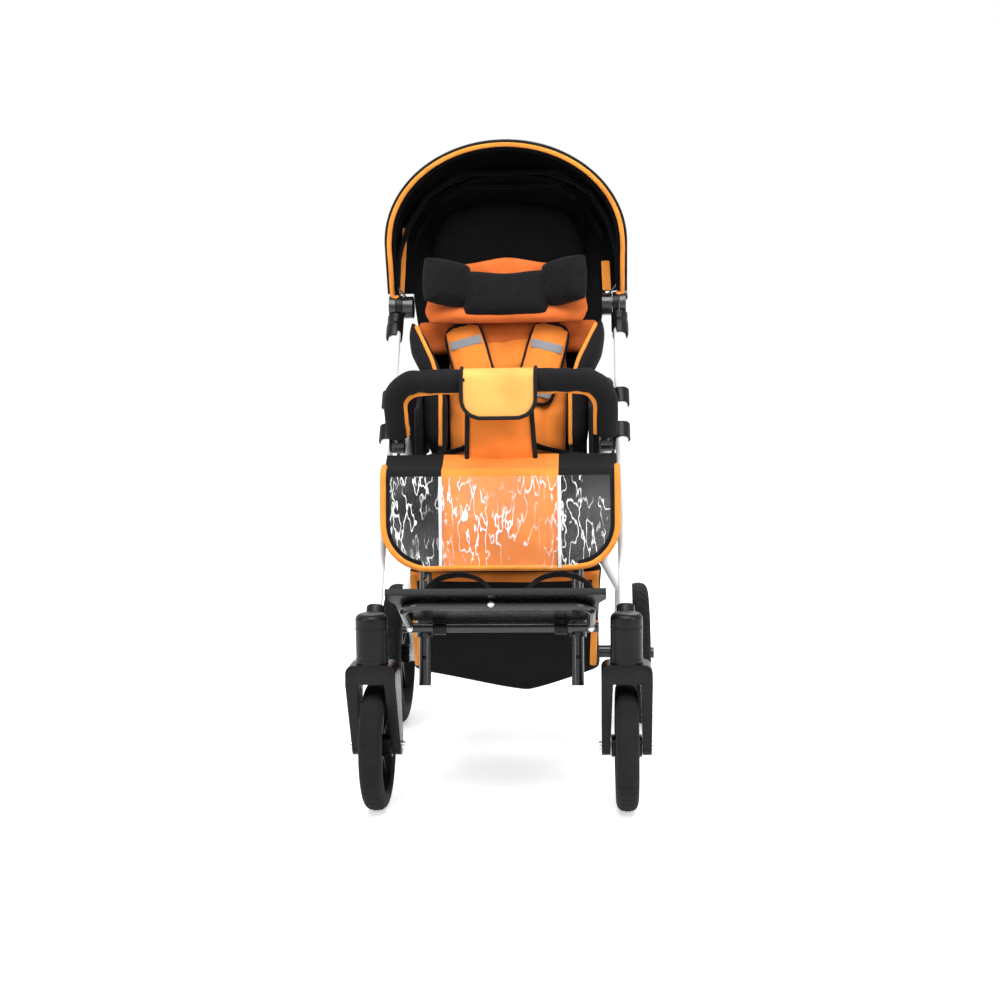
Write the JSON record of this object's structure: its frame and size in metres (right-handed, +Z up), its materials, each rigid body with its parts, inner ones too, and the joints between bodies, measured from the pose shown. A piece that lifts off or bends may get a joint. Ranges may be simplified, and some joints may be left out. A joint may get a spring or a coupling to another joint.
{
  "type": "special needs buggy",
  "caption": "Folding special needs buggy with a winged headrest, hood, bumper bar, hanging apron, tilting footplate, swivel casters and a basket below the seat.",
  "frame": {"origin": "floor level, below the middle of the overall box", "axes": "+Z up, -Y to the front, +X to the rider's left"},
  "size_m": [0.594, 0.8703, 1.2284],
  "materials": {
    "frame_white": "gloss white powder coat",
    "black_metal": "gloss black powder coat",
    "black_plastic": "moulded black plastic",
    "steel": "zinc plated",
    "tyre": "black rubber",
    "grip_foam": "soft black foam",
    "fabric_black": "black woven polyester",
    "fabric_orange": "orange woven polyester",
    "clear_pvc": "clear wrinkled film"
  },
  "bodies": {
    "chassis": {"main_tube_left": "frame_white", "main_tube_right": "frame_white", "front_crossbar": "black_metal", "caster_housing_left": "black_plastic", "caster_housing_right": "black_plastic", "caster_caps": "black_plastic", "caster_bearings": "steel", "handle_joints": "black_plastic", "pivot_clamps": "black_metal", "armrest_clamps": "black_plastic", "armrest_pads": "grip_foam", "seat_frame": "black_metal", "seat_board": "black_plastic", "seat_cushion": "fabric_orange", "seat_apron": "fabric_black", "apron_cover": "clear_pvc", "crotch_strap": "fabric_orange", "harness_buckle": "black_plastic", "side_panels": "fabric_black", "footrest_hangers": "black_metal", "basket": "fabric_black", "canopy_rear": "fabric_black", "canopy_rear_bow": "black_metal"},
    "caster_left": {"fork_left": "black_plastic", "fork_bolt_left": "steel"},
    "caster_right": {"fork_right": "black_plastic", "fork_bolt_right": "steel"},
    "front_wheel_left": {"front_tyre_left": "tyre", "front_rim_left": "black_plastic"},
    "front_wheel_right": {"front_tyre_right": "tyre", "front_rim_right": "black_plastic"},
    "rear_frame": {"rear_leg_left": "frame_white", "rear_leg_right": "frame_white", "rear_axle": "black_metal"},
    "brake": {"brake_pedal": "black_metal"},
    "rear_wheel_left": {"rear_tyre_left": "tyre", "rear_rim_left": "black_plastic"},
    "rear_wheel_right": {"rear_tyre_right": "tyre", "rear_rim_right": "black_plastic"},
    "canopy_hood": {"canopy_front": "fabric_black", "canopy_front_bow": "black_plastic"},
    "handle": {"push_handle": "frame_white", "handle_grip": "grip_foam"},
    "backrest": {"backrest_frame": "black_metal", "backrest_shell": "black_plastic", "back_cushion": "fabric_orange", "upper_back_pad": "fabric_black", "lateral_pads": "fabric_black", "shoulder_pads": "fabric_orange", "canopy_back_panel": "fabric_black"},
    "headrest": {"headrest_liner": "fabric_orange", "headrest_cushion": "fabric_black", "headrest_mount": "black_metal"},
    "carriage": {"footrest_carriage": "black_metal"},
    "footboard": {"footplate": "black_metal", "footplate_tube": "black_metal", "foot_straps": "fabric_black"},
    "bumper": {"bumper_tube": "black_metal", "bumper_sleeve": "fabric_black", "bumper_flap": "fabric_orange"}
  },
  "joints": [
    {"name": "caster_swivel_left", "type": "hinge", "parent": "chassis", "child": "caster_left", "pos_m": [0.222, -0.3595, 0.3], "axis": [0, 0, 1], "continuous": true},
    {"name": "front_wheel_spin_left", "type": "hinge", "parent": "caster_left", "child": "front_wheel_left", "pos_m": [0.222, -0.3195, 0.115], "axis": [1, 0, 0], "continuous": true},
    {"name": "caster_swivel_right", "type": "hinge", "parent": "chassis", "child": "caster_right", "pos_m": [-0.222, -0.3595, 0.3], "axis": [0, 0, 1], "continuous": true},
    {"name": "front_wheel_spin_right", "type": "hinge", "parent": "caster_right", "child": "front_wheel_right", "pos_m": [-0.222, -0.3195, 0.115], "axis": [1, 0, 0], "continuous": true},
    {"name": "rear_fold", "type": "hinge", "parent": "chassis", "child": "rear_frame", "pos_m": [0, -0.10149, 0.65798], "axis": [-1, 0, 0], "range_deg": [0, 30]},
    {"name": "rear_wheel_spin_left", "type": "hinge", "parent": "rear_frame", "child": "rear_wheel_left", "pos_m": [0.264, 0.2805, 0.154], "axis": [1, 0, 0], "continuous": true},
    {"name": "rear_wheel_spin_right", "type": "hinge", "parent": "rear_frame", "child": "rear_wheel_right", "pos_m": [-0.264, 0.2805, 0.154], "axis": [1, 0, 0], "continuous": true},
    {"name": "brake_press", "type": "hinge", "parent": "rear_frame", "child": "brake", "pos_m": [0, 0.2805, 0.154], "axis": [-1, 0, 0], "range_deg": [0, 20]},
    {"name": "backrest_recline", "type": "hinge", "parent": "chassis", "child": "backrest", "pos_m": [0, 0.05007, 0.58101], "axis": [-1, 0, 0], "range_deg": [0, 20]},
    {"name": "headrest_slide", "type": "slide", "parent": "backrest", "child": "headrest", "axis": [0, 0.2215, 0.9751], "range_m": [0, 0.05]},
    {"name": "canopy_fold", "type": "hinge", "parent": "chassis", "child": "canopy_hood", "pos_m": [0, 0.06859, 0.90268], "axis": [-1, 0, 0], "range_deg": [0, 31]},
    {"name": "handle_turn", "type": "hinge", "parent": "chassis", "child": "handle", "pos_m": [0, 0.06859, 0.90268], "axis": [1, 0, 0], "range_deg": [-70, 2]},
    {"name": "footrest_slide", "type": "slide", "parent": "chassis", "child": "carriage", "axis": [0, 0.2419, 0.9703], "range_m": [-0.02, 0.02]},
    {"name": "footplate_flip", "type": "hinge", "parent": "carriage", "child": "footboard", "pos_m": [0, -0.29851, 0.32364], "axis": [1, 0, 0], "range_deg": [-6, 28]},
    {"name": "bumper_swing", "type": "hinge", "parent": "chassis", "child": "bumper", "pos_m": [0, -0.16549, 0.64198], "axis": [-1, 0, 0], "range_deg": [0, 30]}
  ]
}
